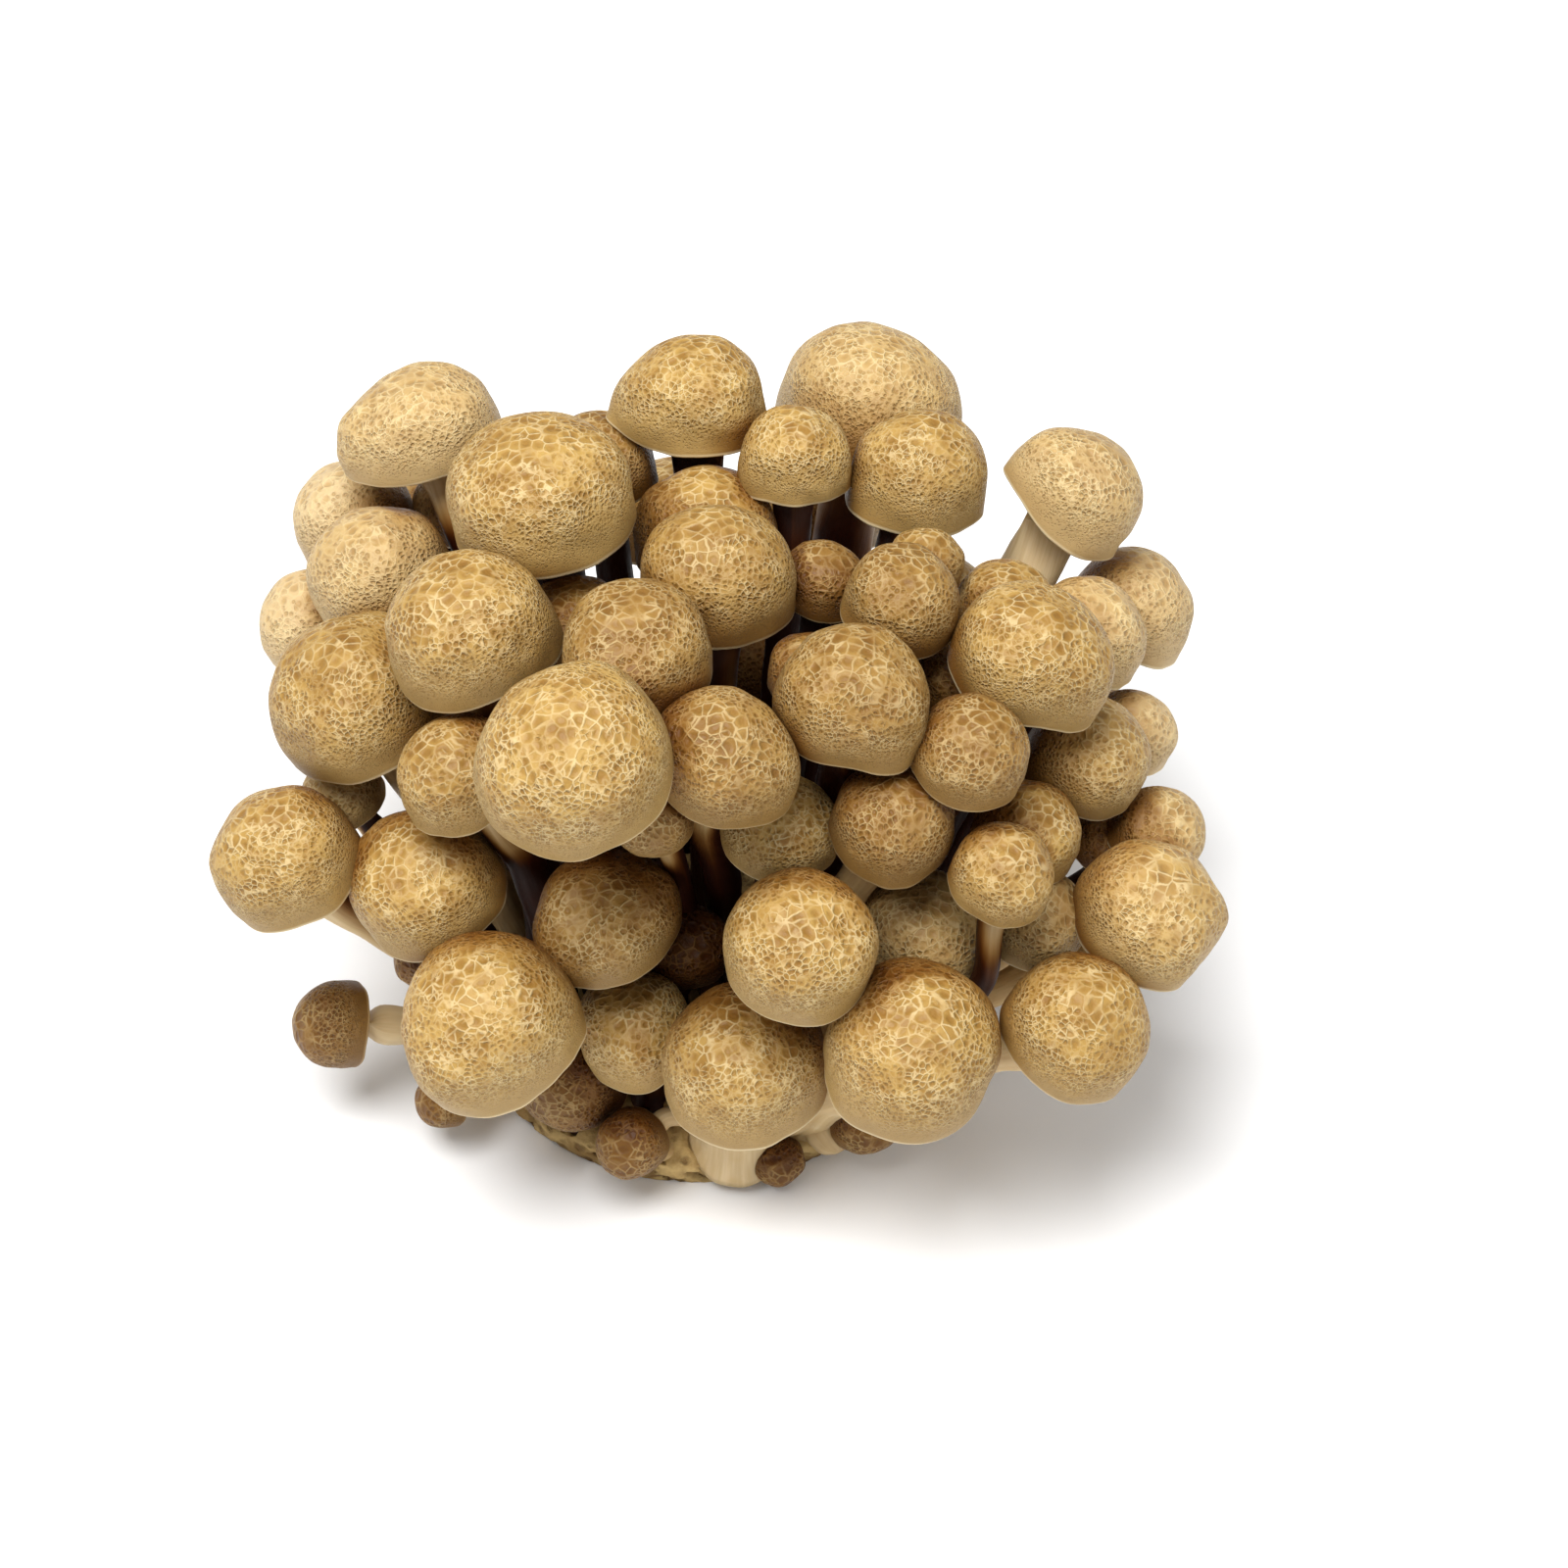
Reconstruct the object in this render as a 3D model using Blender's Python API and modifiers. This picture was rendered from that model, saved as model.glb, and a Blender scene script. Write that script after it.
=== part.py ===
"""A cluster of beech mushrooms on the flat-cut plug of mycelium that it grew from.

Metres, +Z up. The origin is on the plug's flat underside, below the cluster, and -Y is its front.
The plug is one turned solid. Each mushroom, cap and stem together, is one lofted solid.
"""

import math
from dataclasses import dataclass

import bpy
import numpy as np

MM = 0.001

# The plug
PLUG_PLACE = np.array((-3.0, -1.5)) * MM  # where its axis stands: the cluster leans off it a little
PLUG_RADIUS = 31.0 * MM
PLUG_FOOT_RADIUS = 30.0 * MM
PLUG_EDGE_HEIGHT = 4.5 * MM
PLUG_TOP_HEIGHT = 16.0 * MM
PLUG_STEPS = 36
FEET_REACH = 27.0 * MM  # how far from the plug's axis a stem may start

# A mushroom's proportions, as shares of its cap's radius
CAP_HEIGHT = 0.84
RIM_RADIUS = 0.86
RIM_DROP = 0.38
NECK_RISE = 0.14  # how far the gills rise from the rim to the stem
STEM_GIRTH = 0.34
NECK_FLARE = 1.18
FOOT_TAPER = 0.78
MIN_FOOT_RADIUS = 1.3 * MM

# The lean of a cap's axis grows with its distance from the plumb line over LEAN_CENTRE
LEAN_CENTRE = (0.0, -4.0 * MM)
LEAN_PER_METRE = 8.0

# How finely the loft is cut
SEGMENTS = 12
SMALL_SEGMENTS = 10
SMALL_CAP = 6.0 * MM
DOME_ANGLES = (32.0, 62.0, 92.0)  # degrees from the cap's axis
STEM_RINGS = (0.14, 0.34, 0.56, 0.78)  # shares of the stem's length, from the neck to the foot

# Growing apart. Each mushroom is filled with balls, and balls of different mushrooms push apart.
GAP = 0.58 * MM  # between balls, which don't quite reach the skin
FOOT_GAP = 0.3 * MM  # between a foot and the plug
ROUTE_POINTS = 26  # points, and balls, along a stem
STEM_BALL = 1.06  # a ball's radius, as a share of the stem's
# A cap's rings of balls: radius, reach from the cap's axis and rise, as shares of its radius, and count
CAP_BALLS = (
    (0.72, 0.0, 0.10, 1),
    (0.45, 0.42, 0.23, 7),
    (0.33, 0.68, -0.04, 12),
    (0.22, 0.70, -0.17, 10),
)
STEM_GIVES = 0.9  # the share of the way that the stem moves, where a stem meets a cap
GROWTH_STEPS = 1000
PAIRS_EVERY = 40  # steps between looks for the balls that are near each other

CAP_COLOUR = (0.48, 0.29, 0.11, 1.0)
BUTTON_COLOUR = (0.20, 0.10, 0.035, 1.0)
PLUG_COLOUR = (0.56, 0.42, 0.22, 1.0)


@dataclass
class Planting:
    """One mushroom: its cap's centre and width in millimetres, and what sets it apart from the others."""

    x: float
    y: float
    z: float
    width: float
    lean: tuple = None  # the cap axis's slope along X and Y, where it isn't the usual one
    girth: float = STEM_GIRTH
    height: float = CAP_HEIGHT
    lip: tuple = None  # (direction in degrees, size) of a stretch of rim that hangs and juts
    flare: tuple = None  # (direction in degrees, size) of a stretch of rim that turns out
    bumps: float = 0.0
    foot: tuple = None  # where on the plug its stem starts out from, where that isn't below its cap


# Each group runs roughly from left to right. Directions run anticlockwise from +X round the cap's axis.
CROWN = [
    Planting(-22.5, 11, 80, 23.2, height=0.72),
    Planting(-30, -6, 76.5, 20.4),
    Planting(-18.5, 5, 66.5, 13.8),
    Planting(-15.5, 29, 71, 15.0),
    Planting(-9, -14, 78.5, 18.2, height=0.74),
    Planting(-16.5, -32.5, 79, 22.6, lean=(-0.12, -0.42), foot=(-13, 2)),
    Planting(-2.5, 31, 78.5, 18.2, flare=(190, 0.16)),
    Planting(-1, 17.5, 71, 17.6),
    Planting(-0.5, 1.5, 76, 18.8),
    Planting(2.5, -25, 74, 16.4, lean=(0.05, -0.34), lip=(-25, 0.17), foot=(3, 1)),
    Planting(12.5, 5.5, 72, 11.0),
    Planting(11, -8.5, 70, 10.0),
    Planting(11.5, 23.5, 76, 14.2, height=0.95),
    Planting(15, -18.5, 74, 17.8, lip=(-45, 0.13)),
    Planting(19.5, 42, 68.5, 24.6),
    Planting(22, 24.5, 74, 17.8, height=0.98),
    Planting(22.5, -3.5, 76.5, 14.4),
]
LEFT = [
    Planting(-38, 31, 75.5, 19.6, height=0.70, flare=(205, 0.14)),
    Planting(-47, 32, 58, 15.8),
    Planting(-34, 32, 61, 13.8),
    Planting(-43, 18.5, 62, 18.8),
    Planting(-53, 21, 51.5, 14.0),
    Planting(-45, -2, 60, 22.2),
    Planting(-31.5, -19, 63, 15.0),
    Planting(-47.5, -6, 46, 10.4),
    Planting(-52, -16.5, 46, 18.2, height=0.92),
    Planting(-36.5, -20, 45.5, 19.0),
]
RIGHT = [
    Planting(36, 5.5, 67, 13.2),
    Planting(37, -9, 71, 18.6, lip=(-30, 0.14)),
    Planting(30.5, -20, 71, 14.2),
    Planting(46, 29.5, 65.5, 17.8, lean=(0.72, 0.25), girth=0.45, flare=(185, 0.16)),
    Planting(47.5, 14, 55.5, 14.8),
    Planting(53, 25, 50, 16.6),
    Planting(46, -7, 54, 15.8),
    Planting(53, 8, 43.5, 11.6),
    Planting(38, -19, 52.5, 13.4),
    Planting(34.5, -29.5, 56.5, 12.6, girth=0.28, foot=(19, -16)),
    Planting(55, -11, 43.5, 12.6),
    Planting(52, -23.5, 43, 18.4, bumps=0.075),
    Planting(39.5, -24.5, 42.5, 12.8),
]
FRONT = [
    Planting(-28, -35.5, 38, 21.8, girth=0.30),
    Planting(-14.5, -23, 44, 17.6, lean=(-0.10, -0.10), height=0.62, lip=(215, 0.08)),
    Planting(-10, -25.5, 25, 15.0),
    Planting(8, -21.5, 55, 14.0),
    Planting(9.5, -35, 52, 18.4),
    Planting(23.5, -23, 61, 15.2),
    Planting(27.5, -25, 40, 16.4),
    Planting(2.5, -33, 28, 20.4, lean=(-0.02, -0.10), girth=0.42, height=0.88),
    Planting(24.5, -39.5, 38, 21.4, lean=(0.16, -0.20)),
    Planting(43.5, -36, 39.3, 17.6, height=0.90, lip=(-30, 0.10)),
]
BACK = [
    Planting(-27, 41, 51, 17.0),
    Planting(-7, 46, 47, 18.0),
    Planting(13, 50, 44, 17.0),
    Planting(30, 37, 38, 15.0),
    Planting(3, 40, 25, 16.6),
]
BUTTONS = [
    Planting(-49.5, -18, 16, 11.0, lean=(-2.6, -0.9), girth=0.46, height=1.05),
    Planting(-36, -24, 8, 7.4, lean=(-1.6, -0.9), girth=0.42, height=0.95),
    Planting(-19, -24.5, 15, 13.8, lean=(-0.9, -1.5), girth=0.40, height=0.9),
    Planting(-12, -33, 10.8, 9.0, lean=(-0.6, -1.4), girth=0.42, height=0.95),
]
GROUPS = {
    "crown_mushroom": CROWN,
    "left_mushroom": LEFT,
    "right_mushroom": RIGHT,
    "front_mushroom": FRONT,
    "back_mushroom": BACK,
    "button_mushroom": BUTTONS,
}


def clear_scene():
    for obj in list(bpy.data.objects):
        bpy.data.objects.remove(obj)


def collection_of(name):
    made = bpy.data.collections.new(name)
    bpy.context.scene.collection.children.link(made)
    return made


def material_of(name, colour, roughness):
    made = bpy.data.materials.new(name)
    made.use_nodes = True
    shader = made.node_tree.nodes["Principled BSDF"]
    shader.inputs["Base Color"].default_value = colour
    shader.inputs["Roughness"].default_value = roughness
    shader.inputs["Metallic"].default_value = 0.0
    return made


def unit(vectors):
    vectors = np.asarray(vectors, float)
    return vectors / np.maximum(np.linalg.norm(vectors, axis=-1, keepdims=True), 1e-12)


def plug_top(x, y):
    """The height of the plug's domed top over a point of its underside."""
    out = np.hypot(x - PLUG_PLACE[0], y - PLUG_PLACE[1])
    share = np.minimum((out / PLUG_RADIUS) ** 2, 1.0)
    return PLUG_EDGE_HEIGHT + (PLUG_TOP_HEIGHT - PLUG_EDGE_HEIGHT) * (1.0 - share)


class Growth:
    """Every mushroom's cap and stem while they are pushed clear of each other."""

    def __init__(self, plantings):
        self.wanted = np.array([(p.x, p.y, p.z) for p in plantings]) * MM
        self.radius = np.array([p.width for p in plantings]) * MM / 2
        self.centre = self.wanted.copy()
        slope = (self.wanted[:, :2] - LEAN_CENTRE) * LEAN_PER_METRE
        for row, planting in zip(slope, plantings):
            if planting.lean is not None:
                row[:] = planting.lean
        self.axis = unit(np.column_stack([slope, np.ones(len(slope))]))
        self.side = unit(np.cross((0.0, 1.0, 0.0), self.axis))
        self.front = np.cross(self.axis, self.side)
        self.routes = self.first_routes(plantings)
        up = np.linspace(0.0, 1.0, ROUTE_POINTS)
        girth = np.array([p.girth for p in plantings]) * self.radius
        self.route_radius = girth[:, None] * (FOOT_TAPER + (1.0 - FOOT_TAPER) * up)
        self.route_radius = np.maximum(self.route_radius, MIN_FOOT_RADIUS)
        self.radii, self.owner, self.in_stem = self.ball_sizes()

    def necks(self):
        return self.centre - self.axis * ((RIM_DROP - NECK_RISE) * self.radius)[:, None]

    def first_routes(self, plantings):
        """Stems start spread over the plug, the lowest and widest mushrooms at its edge."""
        necks = self.necks()
        flat = necks[:, :2] - PLUG_PLACE
        out = np.linalg.norm(flat, axis=1)
        fall = np.arctan2(out, necks[:, 2] - PLUG_EDGE_HEIGHT / 2)
        reach = FEET_REACH * np.minimum(fall / np.radians(58.0), 1.0)
        feet = np.zeros_like(necks)
        feet[:, :2] = PLUG_PLACE + flat / np.maximum(out, 1e-9)[:, None] * reach[:, None]
        for row, planting in zip(feet, plantings):
            if planting.foot is not None:
                row[:2] = np.array(planting.foot) * MM
        feet[:, 2] = plug_top(feet[:, 0], feet[:, 1])
        length = np.linalg.norm(necks - feet, axis=1)[:, None]
        rise = unit(np.column_stack([(feet[:, :2] - PLUG_PLACE) * 18.0, np.ones(len(feet))]))
        a, b = feet + rise * length * 0.35, necks - self.axis * length * 0.35
        t = np.linspace(0.0, 1.0, ROUTE_POINTS)[None, :, None]
        curve = (1 - t) ** 3 * feet[:, None] + 3 * t * (1 - t) ** 2 * a[:, None]
        return curve + 3 * t * t * (1 - t) * b[:, None] + t**3 * necks[:, None]

    def ball_sizes(self):
        """The radius and the mushroom of each ball, and whether it's a stem's, as ball_centres lists them."""
        rows = [self.route_radius * STEM_BALL]
        rows += [np.repeat((b[0] * self.radius)[:, None], b[3], axis=1) for b in CAP_BALLS]
        radii = np.concatenate(rows, axis=1)
        in_stem = np.zeros(radii.shape, bool)
        in_stem[:, :ROUTE_POINTS] = True
        owner = np.repeat(np.arange(len(radii)), radii.shape[1])
        return radii.reshape(-1), owner, in_stem.reshape(-1)

    def ball_centres(self):
        rows = [self.routes]
        for _, reach, rise, count in CAP_BALLS:
            turn = np.linspace(0.0, 2 * math.pi, count, endpoint=False)
            spoke = self.side[:, None] * np.cos(turn)[None, :, None]
            spoke = spoke + self.front[:, None] * np.sin(turn)[None, :, None]
            offset = spoke * reach + self.axis[:, None] * rise
            rows.append(self.centre[:, None] + offset * self.radius[:, None, None])
        return np.concatenate(rows, axis=1).reshape(-1, 3)

    def near_pairs(self):
        """The pairs of balls of different mushrooms that are close enough to meet soon."""
        points = self.ball_centres()
        squares = (points**2).sum(axis=1)
        apart = squares[:, None] + squares[None, :] - 2 * points @ points.T
        reach = self.radii[:, None] + self.radii[None, :] + GAP + 4.0 * MM
        near = (apart < reach**2) & (self.owner[:, None] < self.owner[None, :])
        return np.nonzero(near)

    def push(self, pairs, strength):
        first, second = pairs
        points = self.ball_centres()
        offset = points[first] - points[second]
        distance = np.maximum(np.linalg.norm(offset, axis=1), 1e-9)
        short = self.radii[first] + self.radii[second] + GAP - distance
        moves = offset * (np.maximum(short, 0.0) * strength / distance)[:, None]
        lead = self.in_stem[first].astype(float) - self.in_stem[second]
        share = 0.5 + (STEM_GIVES - 0.5) * lead[:, None]
        total = np.zeros_like(points)
        np.add.at(total, first, 2 * moves * share)
        np.add.at(total, second, -2 * moves * (1 - share))
        total = total.reshape(len(self.radius), -1, 3)
        self.routes += total[:, :ROUTE_POINTS]
        self.centre += total[:, ROUTE_POINTS:].sum(axis=1) / 3.0
        return short.max()

    def hold(self, firmness):
        """Caps drift back to where they were planted, stems straighten, and feet stay on the plug."""
        self.centre += (self.wanted - self.centre) * 0.02 * firmness
        necks = self.necks()
        self.routes[:, -1] = necks
        self.routes[:, -2] += (necks - self.axis * 3.0 * MM - self.routes[:, -2]) * 0.15
        middle = (self.routes[:, :-2] + self.routes[:, 2:]) / 2 - self.routes[:, 1:-1]
        self.routes[:, 1:-1] += middle * (0.15 + 0.30 * firmness)
        foot = self.routes[:, 0]
        foot[:, :2] += (self.routes[:, 1, :2] - foot[:, :2]) * 0.10
        flat = foot[:, :2] - PLUG_PLACE
        out = np.maximum(np.linalg.norm(flat, axis=1), 1e-9)
        foot[:, :2] = PLUG_PLACE + flat * np.minimum(FEET_REACH / out, 1.0)[:, None]
        foot[:, 2] = plug_top(foot[:, 0], foot[:, 1])
        floor = plug_top(self.routes[:, 1:, 0], self.routes[:, 1:, 1])
        inside = np.linalg.norm(self.routes[:, 1:, :2] - PLUG_PLACE, axis=2) < PLUG_RADIUS + 2 * MM
        low = inside & (self.routes[:, 1:, 2] < floor + self.route_radius[:, 1:] * 0.8)
        self.routes[:, 1:, 2] += np.where(low, 0.3 * MM, 0.0)
        self.centre[:, 2] = np.maximum(self.centre[:, 2], self.radius * 1.05)

    def settle(self):
        for step in range(GROWTH_STEPS):
            if step % PAIRS_EVERY == 0:
                pairs = self.near_pairs()
            worst = self.push(pairs, 0.35)
            self.hold(max(1.0 - 1.3 * step / GROWTH_STEPS, 0.0))
        moved = np.linalg.norm(self.centre - self.wanted, axis=1)
        print(f"the closest balls are {worst / MM:.2f} mm short")
        print(f"caps moved {moved.mean() / MM:.1f} mm on average, {moved.max() / MM:.1f} mm at most")


def outline(planting, seed, turns):
    """A cap's radius at each turn, as a share of its own, and how far its rim is lowered there."""
    wave = np.random.default_rng(seed)
    share = np.ones_like(turns)
    for count, size in ((2, 0.035), (3, 0.022)):
        share += size * wave.uniform(0.3, 1.0) * np.cos(count * turns + wave.uniform(0, 2 * math.pi))
    share += planting.bumps * np.cos(5 * turns) * (np.cos(turns) > -0.3)
    drop = np.zeros_like(turns)
    for place, way in ((planting.lip, 1.0), (planting.flare, -1.0)):
        if place:
            angle = np.angle(np.exp(1j * (turns - math.radians(place[0]))))
            swell = place[1] * np.exp(-((angle / 0.55) ** 2))
            share += swell
            drop += way * swell
    return share, drop


def cap_rings(planting, centre, axis, side, front, radius, seed):
    """The apex, and the rings from there over the dome to the rim."""
    segments = SEGMENTS if radius > SMALL_CAP else SMALL_SEGMENTS
    turns = np.linspace(0.0, 2 * math.pi, segments, endpoint=False)
    share, drop = outline(planting, seed, turns)
    spoke = side * np.cos(turns)[:, None] + front * np.sin(turns)[:, None]
    rings = []
    for angle in np.radians(DOME_ANGLES):
        swell = 1.0 + (share - 1.0) * math.sin(angle) ** 2
        out = math.sin(angle) * swell * radius
        up = planting.height * math.cos(angle) * radius - drop * radius * 0.35 * math.sin(angle) ** 2
        rings.append(centre + spoke * out[:, None] + axis * up[:, None])
    out = RIM_RADIUS * share * radius
    up = (-RIM_DROP - drop * 0.9) * radius
    rings.append(centre + spoke * out[:, None] + axis * up[:, None])
    apex = centre + axis * planting.height * radius
    return apex, rings, turns


def route_at(route, share):
    """A point of the route, and its direction up the stem, at a share of the way from neck to foot."""
    place = (1.0 - share) * (len(route) - 1)
    low = min(int(place), len(route) - 2)
    point = route[low] + (route[low + 1] - route[low]) * (place - low)
    return point, unit(route[low + 1] - route[low])


def stem_rings(route, route_radius, axis, side, turns):
    """The rings from the neck down to the foot, which lies on the plug."""
    rings = []
    way, across = axis, side
    for share in (0.0, *STEM_RINGS, 1.0):
        point, direction = route_at(route, share)
        if share == 0.0:
            direction = axis
        across = unit(across - direction * (across @ direction))
        other = np.cross(direction, across)
        radius = np.interp(1.0 - share, np.linspace(0, 1, len(route)), route_radius)
        if share == 0.0:
            radius = radius * NECK_FLARE
        spoke = across * np.cos(turns)[:, None] + other * np.sin(turns)[:, None]
        ring = point + spoke * radius
        if share == 1.0:
            flat = spoke * (1, 1, 0)
            ring = point + unit(flat) * radius
            ring[:, 2] = plug_top(ring[:, 0], ring[:, 1]) + FOOT_GAP
        rings.append(ring)
    return rings


def loft(name, apex, rings, material, home):
    """A closed skin over rings of equal count, from a single point to a flat end."""
    count = len(rings[0])
    points = [apex] + [point for ring in rings for point in ring]
    faces = [(0, 1 + k, 1 + (k + 1) % count) for k in range(count)]
    for row in range(len(rings) - 1):
        a, b = 1 + row * count, 1 + (row + 1) * count
        for k in range(count):
            n = (k + 1) % count
            faces.append((a + k, b + k, b + n, a + n))
    last = 1 + (len(rings) - 1) * count
    faces.append(tuple(last + k for k in reversed(range(count))))
    mesh = bpy.data.meshes.new(name)
    mesh.from_pydata([tuple(p) for p in points], [], faces)
    mesh.materials.append(material)
    mesh.shade_smooth()
    obj = bpy.data.objects.new(name, mesh)
    home.objects.link(obj)
    return obj


def make_plug(home, material):
    """A turned profile, from the middle of the domed top, over the edge, to the middle of the underside."""
    x, y = PLUG_PLACE
    profile = [(r, plug_top(x + r, y)) for r in np.linspace(0.0, PLUG_RADIUS, 6)]
    profile += [
        (PLUG_RADIUS, PLUG_EDGE_HEIGHT * 0.45),
        (PLUG_FOOT_RADIUS, 0.0),
        (0.0, 0.0),
    ]
    mesh = bpy.data.meshes.new("mycelium_plug")
    edges = [(k, k + 1) for k in range(len(profile) - 1)]
    mesh.from_pydata([(r, 0.0, z) for r, z in profile], edges, [])
    mesh.materials.append(material)
    plug = bpy.data.objects.new("mycelium_plug", mesh)
    plug.location = (x, y, 0.0)
    home.objects.link(plug)
    screw = plug.modifiers.new("turned", "SCREW")
    screw.steps = screw.render_steps = PLUG_STEPS
    screw.use_merge_vertices = True
    screw.merge_threshold = 0.1 * MM
    return plug


def make_mushrooms(home, materials):
    plantings = [p for group in GROUPS.values() for p in group]
    names = [f"{name}_{k + 1:02d}" for name, group in GROUPS.items() for k in range(len(group))]
    growth = Growth(plantings)
    growth.settle()
    for k, (name, planting) in enumerate(zip(names, plantings)):
        axis, side, front = growth.axis[k], growth.side[k], growth.front[k]
        apex, rings, turns = cap_rings(
            planting, growth.centre[k], axis, side, front, growth.radius[k], seed=k
        )
        rings += stem_rings(growth.routes[k], growth.route_radius[k], axis, side, turns)
        material = materials["button" if name.startswith("button") else "cap"]
        loft(name, apex, rings, material, home)


def main():
    clear_scene()
    home = collection_of("beech_mushroom_cluster")
    make_plug(home, material_of("mycelium", PLUG_COLOUR, 0.9))
    materials = {
        "cap": material_of("mushroom", CAP_COLOUR, 0.6),
        "button": material_of("button_mushroom", BUTTON_COLOUR, 0.65),
    }
    make_mushrooms(home, materials)


main()
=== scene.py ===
"""The looks of a cluster of beech mushrooms, grown over its CAD solids.

Each CAD mushroom is a coarse loft. Its rings are read back here, and a fine cap, gills and stem are
drawn through them, so that every piece sits where its solid is. Metres and +Z up throughout, except
that surface patterns are laid out in millimetres.
"""

import math
from dataclasses import dataclass

import bpy
import numpy as np
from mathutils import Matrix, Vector
from mathutils.bvhtree import BVHTree


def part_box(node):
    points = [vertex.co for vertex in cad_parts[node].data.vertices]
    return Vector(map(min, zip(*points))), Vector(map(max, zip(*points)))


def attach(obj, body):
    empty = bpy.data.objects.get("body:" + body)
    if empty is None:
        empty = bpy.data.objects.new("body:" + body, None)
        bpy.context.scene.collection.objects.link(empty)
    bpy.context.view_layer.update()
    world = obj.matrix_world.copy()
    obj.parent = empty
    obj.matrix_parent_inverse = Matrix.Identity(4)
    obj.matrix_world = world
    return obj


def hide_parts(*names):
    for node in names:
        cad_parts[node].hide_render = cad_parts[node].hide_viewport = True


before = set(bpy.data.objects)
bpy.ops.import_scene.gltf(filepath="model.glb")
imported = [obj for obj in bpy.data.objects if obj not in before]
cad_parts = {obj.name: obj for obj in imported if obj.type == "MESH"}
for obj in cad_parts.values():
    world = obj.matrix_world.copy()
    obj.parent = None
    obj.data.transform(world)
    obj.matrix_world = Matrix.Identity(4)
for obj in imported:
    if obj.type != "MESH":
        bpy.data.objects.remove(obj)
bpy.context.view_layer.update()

MM = 0.001
WHITE = (1.0, 1.0, 1.0)
UP = np.array((0.0, 0.0, 1.0))
CAMERA_PLACE = (8.1 * MM, -388.9 * MM, 430.6 * MM)
CAMERA_TILT = 45.0  # degrees below the horizon
CAMERA_SENSOR = 36.0
CAMERA_LENS = 99.0

SEGMENTS = 96  # round a cap and its stem, and twice the number of gills
DOME_ROWS = 34
ROLL_ROWS = 5
GILL_ROWS = 9
STEM_ROWS = 40
RIM_ROLL = 0.035  # the radius of the rim's rounded edge, as a share of the cap's
GILL_LIFT = 0.10  # how far the gills arch up between the rim and the stem, as a share of the cap's radius
GILL_DEPTH = 0.030  # of a ridge, as a share of the cap's radius
SKIRT = 0.05  # how much further the rim hangs than the CAD's, unevenly, as a share of the cap's radius
RIM_SPREAD = 1.16  # how much wider the rim is than the CAD's, which is drawn in by its coarse rings
FOOT_SINK = 1.6 * MM  # how far a stem goes on into the plug
FOOT_FLARE = 0.30  # how much wider a stem grows at its very foot
FLARE_REACH = 2.6 * MM  # how far up its foot the flare fades
BROAD_DENT = 0.022  # how deep a cap's broad dents and its small ones are, as shares of its radius
SMALL_DENT = 0.008
STEM_WAVE = 0.045  # how uneven a stem is, and how much more so at its foot, as shares of its radius
FOOT_WAVE = 0.018
FOOT_WAVE_REACH = 12 * MM
LIP_FOCUS = 7  # the higher it is, the narrower a bent-out lip
NO_LIP = (0.0, 0.0, 0.0)
WELD = 2e-6  # points of a solid closer than this, in metres, are one
HUB_LINKS = 10  # only the points in the middle of a fan of faces have more neighbours than this

# The places of a mushroom's most important rings, counted from the one nearest its top
WIDEST = 2
RIM = 3
NECK = 4

# A mushroom's number plus one of these is the seed of its waves
SKIRT_SEED = 300
DENT_SEED = 500
STEM_SEED = 900
FOOT_SEED = 950


# ---------------------------------------------------------------- reading the CAD


def welded(obj):
    """A node's points, each once, and its triangles."""
    mesh = obj.data
    mesh.calc_loop_triangles()
    points = np.empty(len(mesh.vertices) * 3)
    mesh.vertices.foreach_get("co", points)
    faces = np.empty(len(mesh.loop_triangles) * 3, int)
    mesh.loop_triangles.foreach_get("vertices", faces)
    points = points.reshape(-1, 3)
    cells = np.round(points / WELD).astype(int)
    _, first, index = np.unique(cells, axis=0, return_index=True, return_inverse=True)
    return points[first], index.reshape(-1)[faces].reshape(-1, 3)


def ring_order(points, centre, axis, start):
    """The order of a ring's points anticlockwise about the axis, from the one nearest the start direction."""
    across = unit(start - axis * (start @ axis))
    other = np.cross(axis, across)
    offset = points - centre
    angle = np.arctan2(offset @ other, offset @ across)
    order = np.argsort(angle % (2 * math.pi))
    first = np.argmin(np.abs(angle[order]))
    return np.roll(order, -first)


def unit(vector):
    vector = np.asarray(vector, float)
    return vector / np.maximum(np.linalg.norm(vector, axis=-1, keepdims=True), 1e-12)


def rings_of(obj):
    """The top of a lofted mushroom, and its rings of points from there down to its foot."""
    points, faces = welded(obj)
    links = [set() for _ in points]
    for face in faces:
        for a in face:
            links[a].update(face)
    hubs = [k for k, found in enumerate(links) if len(found) > HUB_LINKS]
    apex = max(hubs, key=lambda k: np.linalg.norm(points[k] - (0, 0, 8 * MM)))
    seen = {apex}
    level = links[apex] - seen
    rings = []
    start = np.array((1.0, 0.0, 0.0))
    above = points[apex]
    while level:
        ring = points[sorted(level)]
        centre = ring.mean(axis=0)
        ring = ring[ring_order(ring, centre, unit(above - centre), start)]
        rings.append(ring)
        start = ring[0] - centre
        above = centre
        seen |= level
        level = set().union(*(links[k] for k in level)) - seen
    return points[apex], rings


# ---------------------------------------------------------------- smooth curves


def around(ring, count):
    """The smooth closed curve through a ring's evenly turned points, at count even turns."""
    spectrum = np.fft.rfft(ring, axis=0)
    if len(ring) % 2 == 0:
        spectrum[-1] *= 0.5
    padded = np.zeros((count // 2 + 1, 3), complex)
    padded[: len(spectrum)] = spectrum
    return np.fft.irfft(padded, count, axis=0) * (count / len(ring))


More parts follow.
